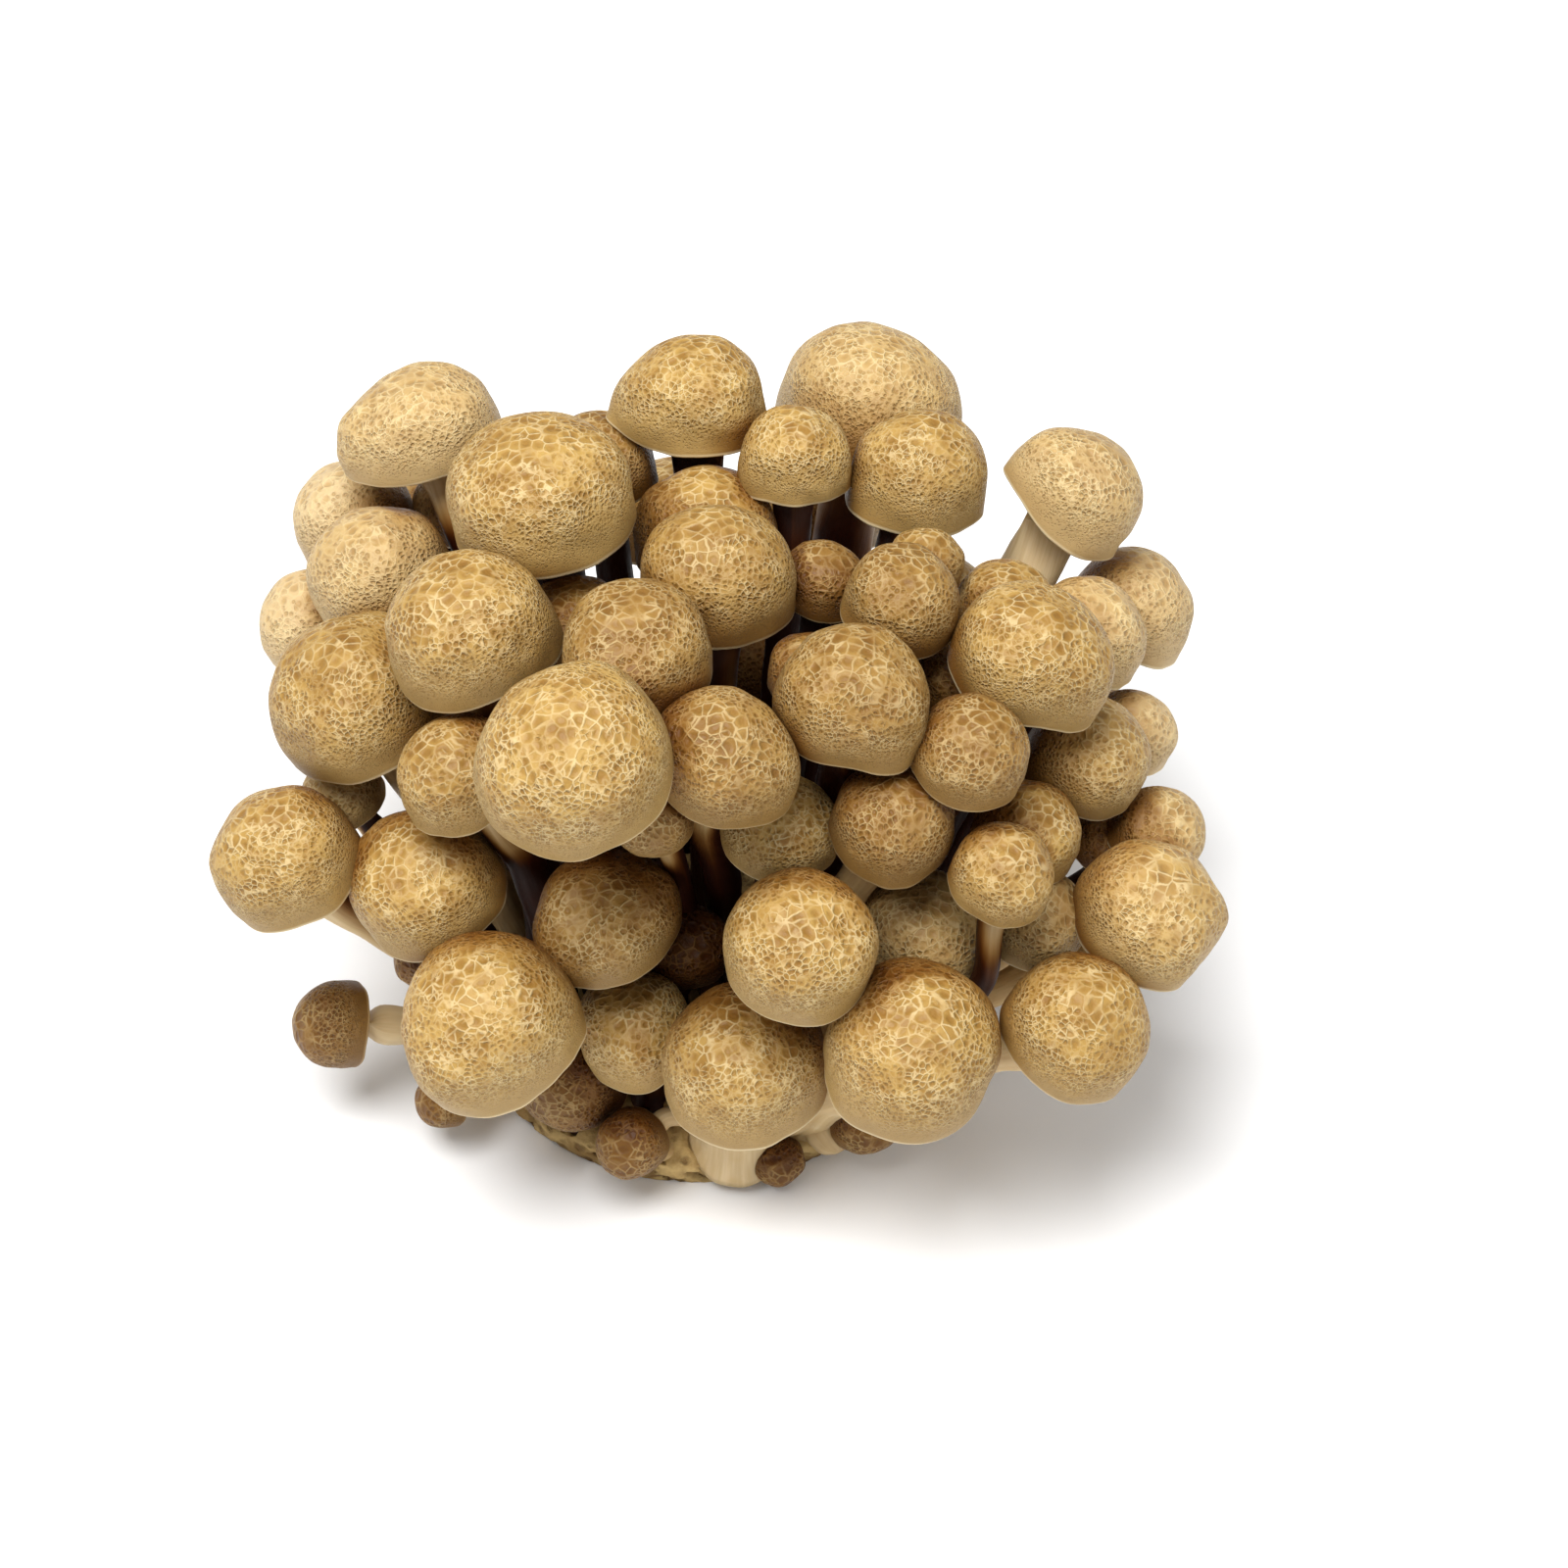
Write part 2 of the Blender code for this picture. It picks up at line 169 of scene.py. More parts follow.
def along(rows, knots, wanted):
    """Smooth curves through rows of points, which sit at the knots, at the wanted places."""
    slopes = np.gradient(rows, knots, axis=0)
    k = np.clip(np.searchsorted(knots, wanted, side="right") - 1, 0, len(knots) - 2)
    span = (knots[k + 1] - knots[k])[:, None, None]
    t = (wanted - knots[k])[:, None, None] / span
    first = rows[k] * (2 * t**3 - 3 * t**2 + 1) + slopes[k] * span * (t**3 - 2 * t**2 + t)
    return first + rows[k + 1] * (3 * t**2 - 2 * t**3) + slopes[k + 1] * span * (t**3 - t**2)


def lengths(rows):
    """How far along the mean curve each row lies."""
    steps = np.linalg.norm(np.diff(rows, axis=0), axis=2).mean(axis=1)
    return np.concatenate([[0.0], np.cumsum(steps)])


class Waves:
    """A smooth bumpy field from -1 to 1: the sum of a few waves in fixed random directions."""

    def __init__(self, seed, wavelength, count=14):
        dice = np.random.default_rng(seed)
        ways = unit(dice.normal(size=(count, 3)))
        self.ways = ways * (2 * math.pi / wavelength) * dice.uniform(0.6, 1.7, (count, 1))
        self.starts = dice.uniform(0, 2 * math.pi, count)

    def __call__(self, points):
        return np.cos(points @ self.ways.T + self.starts).sum(axis=-1) / math.sqrt(len(self.starts))


# ---------------------------------------------------------------- one mushroom


class Mushroom:
    """The fine surface of one mushroom, in rows from the top of its cap to the end of its stem."""

    def __init__(self, apex, rings, seed, tone=0.0, swell=1.0, lip=NO_LIP):
        self.apex = apex
        self.seed = seed
        self.tone = tone
        self.swell = swell
        self.lip = np.array(lip) * MM
        self.rings = [around(ring, SEGMENTS) for ring in rings]
        middle = self.rings[RIM].mean(axis=0)
        self.rings[RIM] = middle + (self.rings[RIM] - middle) * RIM_SPREAD
        self.rim = self.rings[RIM]
        self.axis = unit(apex - self.rim.mean(axis=0))
        self.centre = self.rings[WIDEST].mean(axis=0)
        self.radius = np.linalg.norm(self.rings[WIDEST] - self.centre, axis=1).mean()
        self.build()
        self.end_point = self.rows[-1].mean(axis=0)

    def build(self):
        """Draws all the rows, and notes which material each takes: 0 is skin, 1 is gills and 2 is stem."""
        dome = self.dome_rows()
        roll = self.roll_rows(dome)
        gills = self.gill_rows(roll[-1])
        stem = self.stem_rows()
        self.rows = np.concatenate([dome, roll, gills, stem])
        self.kinds = np.repeat((0, 0, 1, 2), (len(dome), len(roll), len(gills), len(stem)))
        self.dome_count = len(dome) + len(roll)
        self.stem_start = len(dome) + len(roll) + len(gills)

    def dome_rows(self):
        """From the ring nearest the top to the rim, with soft dents."""
        first = self.rings[0]
        apex = np.repeat(self.apex[None], SEGMENTS, axis=0)
        rows = np.stack([np.roll(first, SEGMENTS // 2, axis=0), apex, *self.rings[: RIM + 1]])
        knots = lengths(rows)
        share = np.linspace(0.0, 1.0, DOME_ROWS + 1)[1:]
        wanted = knots[1] + (knots[-1] - knots[1]) * (share * 0.85 + 0.15 * share**2)
        fine = along(rows, knots, wanted)
        hang = np.clip(wanted - knots[-2], 0, None) / (knots[-1] - knots[-2])
        uneven = 1 + 0.9 * Waves(self.seed + SKIRT_SEED, 2.2 * self.radius)(fine[-1])
        fine -= self.axis * (SKIRT * self.radius * hang[:, None] * uneven[None, :])[:, :, None]
        facing = np.clip(unit(fine[-1] - self.centre) @ unit(self.lip + UP * 1e-9), 0, 1) ** LIP_FOCUS
        flared = np.clip(wanted - knots[-3], 0, None) / (knots[-1] - knots[-3])
        fine += (flared[:, None] ** 2 * facing[None, :])[:, :, None] * self.lip
        dents = Waves(self.seed, 1.3 * self.radius)(fine) * BROAD_DENT
        dents += Waves(self.seed + DENT_SEED, 0.55 * self.radius)(fine) * SMALL_DENT
        away = unit(fine - (self.centre - self.axis * 0.2 * self.radius))
        return fine + away * (dents * self.radius)[:, :, None]

    def roll_rows(self, dome):
        """The rim's rounded edge, from the outside of the cap to the underside."""
        last = dome[-1]
        size = RIM_ROLL * self.radius
        down = unit(last - dome[-3])
        inward = unit(self.rim.mean(axis=0) - last)
        inward = unit(inward - down * (inward * down).sum(axis=1, keepdims=True))
        rows = []
        for turn in np.linspace(0.0, math.pi, ROLL_ROWS + 1)[1:]:
            rows.append(last + down * size * math.sin(turn) + inward * size * (1 - math.cos(turn)))
        return np.stack(rows)

    def gill_rows(self, start):
        """The ridged underside, from the rim in to the stem."""
        end = self.rings[NECK]
        share = np.linspace(0.0, 1.0, GILL_ROWS + 2)[1:-1, None, None]
        lift = self.axis * GILL_LIFT * self.radius * np.sin(share * math.pi) ** 0.8
        ridge = np.where(np.arange(SEGMENTS) % 2, 1.0, -1.0)[None, :, None]
        depth = GILL_DEPTH * self.radius * np.sin(share * math.pi) ** 0.5
        return start * (1 - share) + end * share + lift + self.axis * ridge * depth * 0.5

    def stem_rows(self):
        """From the gills to the foot, a little uneven, and flared where it grows out of the plug."""
        rows = np.stack(self.rings[NECK:])
        way = unit(rows[-1].mean(axis=0) - rows[-2].mean(axis=0))
        rows = np.concatenate([rows, rows[-1:] + way * FOOT_SINK])
        knots = lengths(rows)
        share = np.linspace(0.0, 1.0, STEM_ROWS)
        fine = along(rows, knots, knots[-1] * share)
        middle = fine.mean(axis=1, keepdims=True)
        spoke = fine - middle
        left = (1 - share) * knots[-1]
        flare = 1.0 + FOOT_FLARE * np.exp(-left / FLARE_REACH)[:, None]
        wave = Waves(self.seed + STEM_SEED, 9 * MM)(fine) * STEM_WAVE
        near_foot = np.exp(-left / FOOT_WAVE_REACH)[:, None]
        wave += Waves(self.seed + FOOT_SEED, 3 * MM)(fine) * FOOT_WAVE * near_foot
        swelling = 1 + (self.swell - 1) * np.clip(share * 4, 0, 1)
        return middle + spoke * ((flare + wave) * swelling[:, None])[:, :, None]

    def faces(self):
        """The fan at the top, the quads between the rows with their materials, and the lid at the foot."""
        count = len(self.rows)
        turn = np.arange(SEGMENTS)
        after = (turn + 1) % SEGMENTS
        start = 1 + np.arange(count - 1)[:, None] * SEGMENTS
        quads = np.stack(
            [start + turn, start + SEGMENTS + turn, start + SEGMENTS + after, start + after], axis=2
        )
        kinds = np.repeat(self.kinds[1:], SEGMENTS)
        fan = np.stack([np.zeros(SEGMENTS, int), 1 + turn, 1 + after], axis=1)
        end = 1 + (count - 1) * SEGMENTS
        middle = end + SEGMENTS
        lid = np.stack([end + turn, np.full(SEGMENTS, middle), end + after], axis=1)
        return fan, quads.reshape(-1, 4), kinds, lid

    def attributes(self):
        """What the materials need at each point: a flat map of the cap's skin, and places along the stem."""
        count = len(self.rows)
        turns = np.linspace(0.0, 2 * math.pi, SEGMENTS, endpoint=False)[None, :]
        way = lengths(self.rows)
        out = np.linalg.norm(self.rows - self.rows.mean(axis=1, keepdims=True), axis=2).mean(axis=1)
        spread = np.zeros(count)
        spread[0] = out[0] / MM
        for k in range(1, count):
            if k < self.dome_count:
                mean = max((out[k] + out[k - 1]) / 2, 0.02 * MM)
                spread[k] = spread[k - 1] * math.exp((way[k] - way[k - 1]) / mean)
        skin = np.zeros((count, SEGMENTS, 3))
        skin[:, :, 0] = spread[:, None] * np.cos(turns)
        skin[:, :, 1] = spread[:, None] * np.sin(turns)
        skin[:, :, 2] = self.seed * 7.3
        edge = np.clip(way / way[self.dome_count - 1], 0, 1)
        grain = np.zeros((count, SEGMENTS, 3))
        grain[:, :, 0] = np.cos(turns) * self.radius / MM * 0.4
        grain[:, :, 1] = np.sin(turns) * self.radius / MM * 0.4
        grain[:, :, 2] = (way / MM)[:, None] * 0.06 + self.seed * 5.1
        foot = np.zeros(count)
        foot[self.stem_start :] = np.linspace(0.0, 1.0, count - self.stem_start)
        ridge = np.where(np.arange(SEGMENTS) % 2, 1.0, 0.0)
        return skin, edge, grain, foot, ridge


def add_values(mesh, name, values):
    """Gives each point of the mesh a number, or a vector where the values come in threes."""
    vectors = values.ndim == 2
    made = mesh.attributes.new(name, "FLOAT_VECTOR" if vectors else "FLOAT", "POINT")
    made.data.foreach_set("vector" if vectors else "value", values.astype(np.float32).ravel())


def with_ends(values, first, last):
    """Values for the rows' points, with one more before them and one after, for the two end points."""
    return np.concatenate([[first], values, [last]])


def mesh_of(name, shape, shade, materials):
    """A mushroom's mesh, with the values that its materials read."""
    points = with_ends(shape.rows.reshape(-1, 3), shape.apex, shape.end_point)
    fan, quads, kinds, lid = shape.faces()
    mesh = bpy.data.meshes.new(name)
    mesh.vertices.add(len(points))
    mesh.vertices.foreach_set("co", points.astype(np.float32).ravel())
    corners = np.concatenate([fan.ravel(), quads.ravel(), lid.ravel()])
    sizes = np.concatenate([np.full(len(fan), 3), np.full(len(quads), 4), np.full(len(lid), 3)])
    mesh.loops.add(len(corners))
    mesh.loops.foreach_set("vertex_index", corners.astype(np.int32))
    mesh.polygons.add(len(sizes))
    starts = np.concatenate([[0], np.cumsum(sizes)[:-1]])
    mesh.polygons.foreach_set("loop_start", starts.astype(np.int32))
    slots = np.concatenate([np.zeros(len(fan)), kinds, np.full(len(lid), 2)])
    mesh.polygons.foreach_set("material_index", slots.astype(np.int32))
    for material in materials:
        mesh.materials.append(material)
    mesh.update(calc_edges=True)
    mesh.shade_smooth()
    skin, edge, grain, foot, ridge = shape.attributes()
    top = np.array((0.0, 0.0, skin[0, 0, 2]))
    add_values(mesh, "skin", with_ends(skin.reshape(-1, 3), top, top))
    add_values(mesh, "grain", with_ends(grain.reshape(-1, 3), grain[0, 0], grain[-1, 0]))
    for label, values in (("edge", edge), ("foot", foot)):
        add_values(mesh, label, with_ends(np.repeat(values, SEGMENTS), values[0], values[-1]))
    add_values(mesh, "ridge", with_ends(np.tile(ridge, len(shape.rows)), 0.0, 0.0))
    add_values(mesh, "tone", np.full(len(points), shape.tone))
    add_values(mesh, "shade", with_ends(shade.ravel(), shade[0].mean(), shade[-1].mean()))
    return mesh


# ---------------------------------------------------------------- how deep in the cluster a point lies, for the painted shade


class Depth:
    """How open the space round a surface is, from 0 to 1, among the other CAD solids. The materials paint
    shade by it.
    """

    reach = 70 * MM  # how far a ray looks
    rays = 26
    blocked = 0.7  # the most that a ray counts for when it hits something just within its reach
    lift = 0.9 * MM  # how far off the surface a ray starts
    skip = 0.1 * MM  # how far past its own solid it starts again
    sampled_rows = 16  # of a mushroom, from its top to its foot
    sampled_turns = 8
    top_rows = 6  # down to this row, a cap faces more up than out
    bend = 0.5  # how far the rays are bent upwards
    focus = 1.05  # the higher it is, the closer the rays keep to their middle
    seed = 3

    def __init__(self, nodes):
        points, faces, self.owners, count = [], [], [], 0
        for obj in nodes:
            own, triangles = welded(obj)
            points.append(own)
            faces.append(triangles + count)
            self.owners += [obj.name] * len(triangles)
            count += len(own)
        points, faces = np.concatenate(points), np.concatenate(faces)
        self.tree = BVHTree.FromPolygons(points.tolist(), faces.tolist())
        self.spread = unit(np.random.default_rng(self.seed).normal(size=(self.rays, 3)))

    def free_way(self, start, way, own):
        """The share of a ray's reach that is free of every solid but the point's own."""
        gone = 0.0
        while gone < self.reach:
            hit = self.tree.ray_cast(start + way * gone, way, self.reach - gone)
            if hit[0] is None:
                return 1.0
            gone += hit[3]
            if self.owners[hit[2]] != own:
                return gone / self.reach * self.blocked
            gone += self.skip
        return 1.0

    def at(self, point, normal, own):
        """The openness at a point, from rays spread round its normal and bent a little upwards."""
        towards = unit(normal + UP * self.bend)
        start = Vector(point + towards * self.lift)
        ways = unit(self.spread + towards * self.focus)
        return sum(self.free_way(start, Vector(way), own) for way in ways) / self.rays

    def over(self, shape, own=None):
        """The openness over a mushroom's rows, worked out at a few points and smoothed between them."""
        rows = np.unique(np.linspace(0, len(shape.rows) - 1, self.sampled_rows).astype(int))
        gap = SEGMENTS // self.sampled_turns
        turns = np.arange(0, SEGMENTS, gap)
        found = np.zeros((len(rows), len(turns)))
        for a, row in enumerate(rows):
            middle = shape.rows[row].mean(axis=0)
            for b, turn in enumerate(turns):
                point = shape.rows[row, turn]
                out = point - middle
                normal = unit(out) if row > self.top_rows else unit(out + shape.axis * shape.radius)
                found[a, b] = self.at(point, normal, own)
        knots = np.arange(self.sampled_turns + 1)
        between = np.arange(SEGMENTS) / gap
        wide = np.array([np.interp(between, knots, np.append(row, row[0])) for row in found])
        every = np.arange(len(shape.rows))
        return np.stack([np.interp(every, rows, wide[:, k]) for k in range(SEGMENTS)], axis=1)


# ---------------------------------------------------------------- materials


class Shader:
    """A material whose nodes are added one call at a time. An input is a number or another node's output."""

    def __init__(self, name):
        self.material = bpy.data.materials.new(name)
        self.material.use_nodes = True
        self.tree = self.material.node_tree
        self.out = self.tree.nodes["Principled BSDF"]

    def join(self, value, socket):
        """Links another node's output to the socket, or sets its number or colour."""
        if isinstance(value, bpy.types.NodeSocket):
            self.tree.links.new(value, socket)
        elif isinstance(value, tuple) and len(value) == 3 and socket.type == "RGBA":
            socket.default_value = (*value, 1.0)
        else:
            socket.default_value = value

    def node(self, kind, inputs=(), **settings):
        made = self.tree.nodes.new(kind)
        for name, value in settings.items():
            setattr(made, name, value)
        for name, value in dict(inputs).items():
            self.join(value, made.inputs[name])
        return made

    def value(self, name):
        return self.node("ShaderNodeAttribute", attribute_name=name).outputs["Fac"]

    def vector(self, name):
        return self.node("ShaderNodeAttribute", attribute_name=name).outputs["Vector"]

    def math(self, operation, a, b=0.0, clamp=False):
        inputs = {0: a, 1: b}
        return self.node("ShaderNodeMath", inputs, operation=operation, use_clamp=clamp).outputs[0]

    def steps(self, value, low, high, to_low=0.0, to_high=1.0):
        """Turns a value from low to high smoothly into to_low to to_high."""
        inputs = {"Value": value, "From Min": low, "From Max": high, "To Min": to_low, "To Max": to_high}
        return self.node("ShaderNodeMapRange", inputs, interpolation_type="SMOOTHSTEP").outputs["Result"]

    def product(self, *factors):
        """All the factors multiplied together."""
        made = factors[0]
        for factor in factors[1:]:
            made = self.math("MULTIPLY", made, factor)
        return made

    def between(self, share, a, b):
        """The number that is the share of the way from a to b."""
        return self.math("ADD", a, self.math("MULTIPLY", share, self.math("SUBTRACT", b, a)))

    def mix(self, share, a, b, blend="MIX"):
        """The share of colour b over colour a."""
        made = self.node("ShaderNodeMix", data_type="RGBA", blend_type=blend)
        for index, value in ((0, share), (6, a), (7, b)):
            self.join(value, made.inputs[index])
        return made.outputs[2]

    def noise(self, place, scale, detail=2.0, roughness=0.5, output="Fac"):
        inputs = {"Vector": place, "Scale": scale, "Detail": detail, "Roughness": roughness}
        return self.node("ShaderNodeTexNoise", inputs).outputs[output]

    def voronoi(self, place, scale, feature="DISTANCE_TO_EDGE", output="Distance"):
        inputs = {"Vector": place, "Scale": scale}
        return self.node("ShaderNodeTexVoronoi", inputs, feature=feature).outputs[output]

    def warped(self, place, scale, amount):
        """The place, moved about by a noise."""
        wave = self.noise(place, scale, output="Color")
        centred = self.node("ShaderNodeVectorMath", {0: wave, 1: (0.5, 0.5, 0.5)}, operation="SUBTRACT")
        moved = self.node("ShaderNodeVectorMath", {0: centred.outputs[0], "Scale": amount}, operation="SCALE")
        return self.node("ShaderNodeVectorMath", {0: place, 1: moved.outputs[0]}, operation="ADD").outputs[0]

    def finish(self, colour, roughness, height, depth, specular=0.35, soft=0.0):
        """Joins everything to the shader. The depth is how far the height's bumps stand out, in metres."""
        self.join(colour, self.out.inputs["Base Color"])
        self.join(roughness, self.out.inputs["Roughness"])
        self.out.inputs["Specular IOR Level"].default_value = specular
        if soft:
            self.out.inputs["Subsurface Weight"].default_value = soft
            self.out.inputs["Subsurface Radius"].default_value = (1.0, 0.55, 0.25)
            self.out.inputs["Subsurface Scale"].default_value = 1.6 * MM
        bump = self.node("ShaderNodeBump", {"Height": height, "Distance": depth, "Strength": 1.0})
        self.join(bump.outputs[0], self.out.inputs["Normal"])
        return self.material


# Painted shade: how much of each channel the shade keeps
PAINTED_SHADE_POWERS = (0.9, 1.35, 2.1)  # red, green and blue: blue is lost first


def painted_shade_colour(s, colour, low, high, least):
    """Painted shade: the colour, browner and darker the less open the space round it is.

    It is unchanged above the high openness, and below the low one about the least share of it is left.
    """
    light = s.steps(s.value("shade"), low, high, least, 1.0)
    shares = {index: s.math("POWER", light, power) for index, power in enumerate(PAINTED_SHADE_POWERS)}
    return s.mix(1.0, colour, s.node("ShaderNodeCombineColor", shares).outputs[0], "MULTIPLY")


# The sizes of the cells at the top of a cap, in millimetres. They shrink towards its rim
WIDE_CELL = 1.45
FINE_CELL = 0.84
DOT_CELL = 0.56

# The colours of a cap's skin
OCHRES = ((0.285, 0.153, 0.031), (0.42, 0.262, 0.073))
# The plainer band near the rim, darkened as painted shade on the cap's lower side
BAND_AND_SHADE = (0.345, 0.226, 0.080)
PALE = (0.60, 0.45, 0.25)
BROWN_SHARE = (0.42, 0.30, 0.15)  # what is left of the ochre in the brownest cap
PIT_SHARE = (0.66, 0.54, 0.36)

# The same on an ochre cap and on the brownest
LINES = ((0.66, 0.52, 0.28), (0.40, 0.27, 0.11))
DOTS = ((0.22, 0.115, 0.026), (0.09, 0.045, 0.012))
RIMS = ((0.72, 0.60, 0.37), (0.34, 0.22, 0.09))


def cell_shades(s, place, size):
    """A random number for each cell of a net of that size."""
    colour = s.voronoi(place, 1 / size, "F1", "Color")
    return s.node("ShaderNodeSeparateColor", {0: colour}).outputs[0]


def net_lines(s, place, size, width):
    """1 on the thin lines between the cells of a net, and 0 beyond the width on either side."""
    return s.steps(s.voronoi(place, 1 / size), 0.02, width, 1.0, 0.0)


def cell_pits(s, place, size, inner, outer):
    """1 in the middle of each cell of a net, out to the inner radius, and 0 from the outer one on."""
    return s.steps(s.voronoi(place, 1 / size, "F1"), inner, outer, 1.0, 0.0)


def cap_skin():
    """Ochre pits of two sizes in a pale raised net, then small dots and a smooth band, and a pale rim."""
    s = Shader("cap_skin")
    skin, edge, tone = s.vector("skin"), s.value("edge"), s.value("tone")
    place = s.warped(s.warped(skin, 0.14, 2.2), 1.3, 0.30)

    # Wide cells round the top, and fine ones nearer the rim
    finer = s.math("ADD", s.product(s.noise(skin, 0.40, 1.0), 0.8), s.product(edge, 0.55))
    finer = s.steps(finer, 0.50, 0.58)
    strength = s.steps(s.noise(skin, 0.30, 2.0), 0.36, 0.62, 0.25, 1.0)
    upper = s.steps(edge, 0.60, 0.90, 1.0, 0.0)
    wide_line = net_lines(s, place, WIDE_CELL, 0.13)
    fine_line = net_lines(s, place, FINE_CELL, 0.17)
    line = s.product(s.between(finer, wide_line, fine_line), strength, upper)
    wide_pit = cell_pits(s, place, WIDE_CELL, 0.18, 0.56)
    fine_pit = cell_pits(s, place, FINE_CELL, 0.14, 0.50)
    pit = s.product(s.between(finer, wide_pit, fine_pit), upper)
    dots = cell_pits(s, place, DOT_CELL, 0.12, 0.44)
    dots = s.product(dots, s.steps(edge, 0.40, 0.66, 0.08, 1.0))
    dots = s.product(dots, s.steps(edge, 0.84, 0.97, 1.0, 0.0))

    # Ochre, plainer near the rim, and darker there as painted shade on the cap's lower side, then paler or
    # browner by the mushroom's tone, which is partly painted light and shade
    light = s.math("ADD", s.product(cell_shades(s, place, WIDE_CELL), 0.22), s.noise(skin, 0.25, 3.0))
    ochre = s.mix(s.steps(light, 0.38, 0.86), *OCHRES)
    ochre = s.mix(s.product(s.steps(edge, 0.42, 0.90), 0.85), ochre, BAND_AND_SHADE)
    ochre = s.mix(s.math("MULTIPLY", tone, -1.4, clamp=True), ochre, PALE)
    ochre = s.mix(tone, ochre, s.mix(1.0, ochre, BROWN_SHARE, "MULTIPLY"))
    ochre = s.mix(s.product(pit, 0.56), ochre, s.mix(1.0, ochre, PIT_SHARE, "MULTIPLY"))
    colour = s.mix(s.product(line, 0.62), ochre, s.mix(tone, *LINES))
    colour = s.mix(s.product(dots, 0.42), colour, s.mix(tone, *DOTS))
    # Painted shade: browner and darker where the cap is less open, before the pale rim goes over it
    colour = painted_shade_colour(s, colour, 0.05, 0.78, 0.28)
    colour = s.mix(s.product(s.steps(edge, 0.925, 0.95), 0.8), colour, s.mix(tone, *RIMS))

    grit = s.product(s.noise(skin, 3.5, 3.0), 0.25)
    ridges = s.math("SUBTRACT", s.product(line, 0.6), pit)
    height = s.math("SUBTRACT", s.math("ADD", ridges, grit), s.product(dots, 0.5))
    return s.finish(colour, s.steps(line, 0.0, 1.0, 0.46, 0.60), height, 0.15 * MM, 0.24, 0.06)


def gill_flesh():
    """Pale ridges, and painted shade in the tan folds between them."""
    s = Shader("gill_flesh")
    ridge = s.value("ridge")
    patchy = s.noise(s.vector("grain"), 0.8, 2.0)
    # Painted shade: the folds between the gills darker than their ridges
    colour = s.mix(s.steps(ridge, 0.0, 1.0), (0.40, 0.27, 0.13), (0.76, 0.62, 0.40))
    colour = s.mix(s.product(patchy, 0.35), colour, (0.62, 0.45, 0.24))
    # Painted shade: darker and browner where the gills are less open
    colour = painted_shade_colour(s, colour, 0.30, 0.80, 0.12)
    return s.finish(colour, 0.6, patchy, 0.04 * MM, 0.3)


def stem_flesh():
    """Cream and satin, with fine fibres along it, and stained and downy towards the foot."""
    s = Shader("stem_flesh")
    grain, foot = s.vector("grain"), s.value("foot")
    fibres = s.noise(grain, 3.2, 4.0, 0.6)
    streaks = s.noise(grain, 1.1, 2.0)
    patches = s.noise(s.node("ShaderNodeTexCoord").outputs["Object"], 260.0, 3.0)
    colour = s.mix(s.steps(streaks, 0.3, 0.7), (0.52, 0.38, 0.20), (0.64, 0.50, 0.29))
    colour = s.mix(s.product(s.steps(fibres, 0.35, 0.7), 0.22), colour, (0.70, 0.59, 0.39))
    stain = s.product(s.steps(foot, 0.45, 1.0), s.steps(patches, 0.38, 0.62))
    colour = s.mix(s.product(stain, 0.6), colour, (0.48, 0.32, 0.13))
    # Painted shade: darker and browner where the stem is less open, nearly black deep in the cluster
    colour = painted_shade_colour(s, colour, 0.42, 0.92, 0.03)
    height = s.math("ADD", fibres, s.product(patches, s.steps(foot, 0.6, 1.0)))
    return s.finish(colour, 0.5, height, 0.07 * MM, 0.20, 0.10)


def mycelium():
    """A yellowish cream crust with brown pits, and painted shade in its deep pits."""
    s = Shader("mycelium_crust")
    place = s.node("ShaderNodeTexCoord").outputs["Object"]
    lumps = s.noise(place, 170.0, 5.0, 0.62)
    pits = s.steps(s.voronoi(s.warped(place, 300.0, 0.002), 420.0, "F1"), 0.12, 0.42, 1.0, 0.0)
    pits = s.product(pits, s.steps(lumps, 0.48, 0.60, 1.0, 0.15))
    colour = s.mix(s.steps(lumps, 0.36, 0.66), (0.26, 0.155, 0.05), (0.60, 0.42, 0.17))
    colour = s.mix(s.product(pits, 0.8), colour, (0.15, 0.075, 0.02))
    # Painted shade: the crust's deep pits much darker, then all of it darker and browner where it is less
    # open
    colour = s.mix(s.product(s.value("pit_shade"), 0.85), colour, (0.10, 0.05, 0.015))
    colour = painted_shade_colour(s, colour, 0.08, 0.60, 0.20)
    height = s.math("SUBTRACT", lumps, s.product(pits, 0.6))
    return s.finish(colour, 0.75, height, 0.8 * MM, 0.25)


# ---------------------------------------------------------------- the smallest ones, which have no CAD node


@dataclass
class Extra:
    """A small mushroom that only the looks have. Its lengths are in millimetres."""

    name: str
    cap: tuple  # the middle of its cap
    radius: float
    axis: tuple  # the way its cap faces
    foot: tuple
    tone: float = 0.2  # as in CAP_TONES_AND_LIGHT
    girth: float = 0.34  # the radius of its stem, as a share of its cap's


